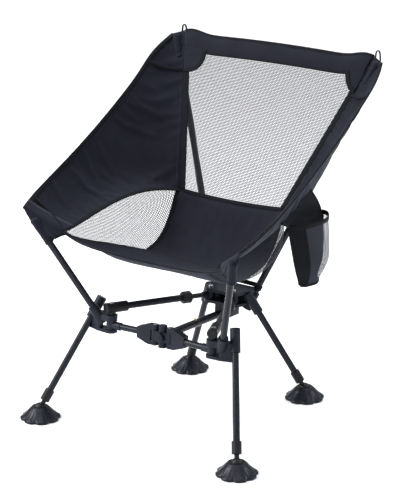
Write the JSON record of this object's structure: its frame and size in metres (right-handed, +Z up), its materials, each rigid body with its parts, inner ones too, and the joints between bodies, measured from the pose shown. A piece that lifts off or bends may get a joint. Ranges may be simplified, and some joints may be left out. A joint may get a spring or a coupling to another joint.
{
  "type": "ultralight backpacking chair",
  "caption": "Low folding camp chair: a fabric sling with mesh back on crossed poles, a pivoting hub frame, and swivel cone feet.",
  "frame": {"origin": "on the floor, at the middle of the object's box", "axes": "+Z up, the sitter faces -Y, +X is the sitter's left"},
  "size_m": [0.52, 0.508, 0.676],
  "materials": {
    "pole_tube": "gloss black anodised aluminium tube",
    "hub_plastic": "dark slate moulded nylon, satin",
    "black_plastic": "black moulded nylon, satin",
    "foot_plastic": "black moulded rubber, satin",
    "pin_metal": "plain steel pin, dark",
    "button_brass": "brass snap button",
    "elastic_cord": "braided elastic cord",
    "sling_fabric": "near-black woven polyester",
    "mesh_fabric": "open black hexagon mesh",
    "pocket_mesh": "fine black mesh",
    "webbing": "black woven webbing"
  },
  "bodies": {
    "root": {"back_panel": "mesh_fabric", "back_pole_left": "pole_tube", "back_pole_pockets": "sling_fabric", "back_pole_right": "pole_tube", "centre_strut_outer": "pole_tube", "cup_pocket": "pocket_mesh", "foot_joint_rear_left": "black_plastic", "foot_joint_rear_right": "black_plastic", "front_band": "sling_fabric", "rear_hub": "hub_plastic", "rear_leg_left": "pole_tube", "rear_leg_right": "pole_tube", "rear_pins": "pin_metal", "seat_panel": "sling_fabric", "seat_pole_pockets": "sling_fabric", "shock_cords_rear": "elastic_cord", "side_panel_left": "sling_fabric", "side_panel_right": "sling_fabric", "top_band": "sling_fabric", "webbing_loops": "webbing"},
    "snap_button": {"snap_button": "button_brass"},
    "centre": {"centre_block": "hub_plastic", "centre_strut_inner": "pole_tube", "centre_pins": "pin_metal"},
    "centre_button": {"centre_cap": "black_plastic"},
    "arm_left": {"arm_fork_left": "hub_plastic", "arm_tube_left": "pole_tube", "arm_eye_left": "hub_plastic"},
    "front_hub_left": {"front_hub_left": "hub_plastic", "hub_pin_left": "pin_metal", "strut_socket_left": "black_plastic", "strut_outer_left": "pole_tube", "seat_pole_left": "pole_tube", "front_leg_left": "pole_tube", "foot_joint_front_left": "black_plastic", "shock_cords_left": "elastic_cord"},
    "strut_collar_left": {"strut_collar_left": "black_plastic"},
    "rear_strut_left": {"strut_inner_left": "pole_tube", "strut_eye_left": "hub_plastic"},
    "foot_front_left": {"foot_front_left": "foot_plastic"},
    "foot_rear_left": {"foot_rear_left": "foot_plastic"},
    "arm_right": {"arm_fork_right": "hub_plastic", "arm_tube_right": "pole_tube", "arm_eye_right": "hub_plastic"},
    "front_hub_right": {"front_hub_right": "hub_plastic", "hub_pin_right": "pin_metal", "strut_socket_right": "black_plastic", "strut_outer_right": "pole_tube", "seat_pole_right": "pole_tube", "front_leg_right": "pole_tube", "foot_joint_front_right": "black_plastic", "shock_cords_right": "elastic_cord"},
    "strut_collar_right": {"strut_collar_right": "black_plastic"},
    "rear_strut_right": {"strut_inner_right": "pole_tube", "strut_eye_right": "hub_plastic"},
    "foot_front_right": {"foot_front_right": "foot_plastic"},
    "foot_rear_right": {"foot_rear_right": "foot_plastic"}
  },
  "joints": [
    {"name": "centre_slide", "type": "slide", "parent": "root", "child": "centre", "axis": [0, -0.9981, 0.061], "range_m": [0, 0.056]},
    {"name": "button_press", "type": "slide", "parent": "root", "child": "snap_button", "axis": [0, -0.061, -0.9981], "range_m": [0, 0.0025], "stiffness_N_per_m": 600, "springref_m": -0.001},
    {"name": "centre_button_press", "type": "slide", "parent": "centre", "child": "centre_button", "axis": [0, 0.9981, -0.061], "range_m": [0, 0.002], "stiffness_N_per_m": 600, "springref_m": -0.001},
    {"name": "arm_fold_left", "type": "hinge", "parent": "centre", "child": "arm_left", "pos_m": [0.017, -0.128, 0.184], "axis": [0, -0.061, -0.9981], "range_deg": [0, 79], "deforming": ["seat_panel", "side_panel_left", "side_panel_right", "front_band", "seat_pole_pockets"]},
    {"name": "hub_turn_left", "type": "hinge", "parent": "arm_left", "child": "front_hub_left", "pos_m": [0.114, -0.13399, 0.18437], "axis": [0, 0.061, 0.9981], "range_deg": [0, 55.96]},
    {"name": "strut_turn_left", "type": "hinge", "parent": "root", "child": "rear_strut_left", "pos_m": [0.026, 0.06466, 0.20528], "axis": [0, -0.061, -0.9981], "range_deg": [0, 24.04]},
    {"name": "collar_twist_left", "type": "hinge", "parent": "front_hub_left", "child": "strut_collar_left", "pos_m": [0.0463, 0.01931, 0.20805], "axis": [-0.4079, 0.9113, -0.0557], "range_deg": [0, 90]},
    {"name": "foot_tilt_front_left", "type": "hinge", "parent": "front_hub_left", "child": "foot_front_left", "pos_m": [0.222, -0.216, 0.02], "axis": [-0.8132, -0.5819, 0], "range_deg": [-12, 12]},
    {"name": "foot_tilt_rear_left", "type": "hinge", "parent": "root", "child": "foot_rear_left", "pos_m": [0.135, 0.15, 0.02], "axis": [0.5711, -0.8209, 0], "range_deg": [-12, 12]},
    {"name": "arm_fold_right", "type": "hinge", "parent": "centre", "child": "arm_right", "pos_m": [-0.017, -0.128, 0.184], "axis": [0, 0.061, 0.9981], "range_deg": [0, 79.5]},
    {"name": "hub_turn_right", "type": "hinge", "parent": "arm_right", "child": "front_hub_right", "pos_m": [-0.114, -0.13399, 0.18437], "axis": [0, -0.061, -0.9981], "range_deg": [0, 55.96]},
    {"name": "strut_turn_right", "type": "hinge", "parent": "root", "child": "rear_strut_right", "pos_m": [-0.026, 0.06466, 0.20528], "axis": [0, 0.061, 0.9981], "range_deg": [0, 24.04]},
    {"name": "collar_twist_right", "type": "hinge", "parent": "front_hub_right", "child": "strut_collar_right", "pos_m": [-0.0463, 0.01931, 0.20805], "axis": [0.4079, 0.9113, -0.0557], "range_deg": [0, 90]},
    {"name": "foot_tilt_front_right", "type": "hinge", "parent": "front_hub_right", "child": "foot_front_right", "pos_m": [-0.222, -0.216, 0.02], "axis": [-0.8132, 0.5819, 0], "range_deg": [-12, 12]},
    {"name": "foot_tilt_rear_right", "type": "hinge", "parent": "root", "child": "foot_rear_right", "pos_m": [-0.135, 0.15, 0.02], "axis": [0.5711, 0.8209, 0], "range_deg": [-12, 12]}
  ],
  "couplings": [
    {"joint": "centre_slide", "follows": "arm_fold_left", "m_per_rad": 0.039889},
    {"joint": "hub_turn_left", "follows": "arm_fold_left", "ratio": 0.702},
    {"joint": "strut_turn_left", "follows": "arm_fold_left", "ratio": 0.298},
    {"joint": "hub_turn_right", "follows": "arm_fold_left", "ratio": 0.702},
    {"joint": "strut_turn_right", "follows": "arm_fold_left", "ratio": 0.298},
    {"joint": "arm_fold_right", "follows": "arm_fold_left", "ratio": 1}
  ]
}
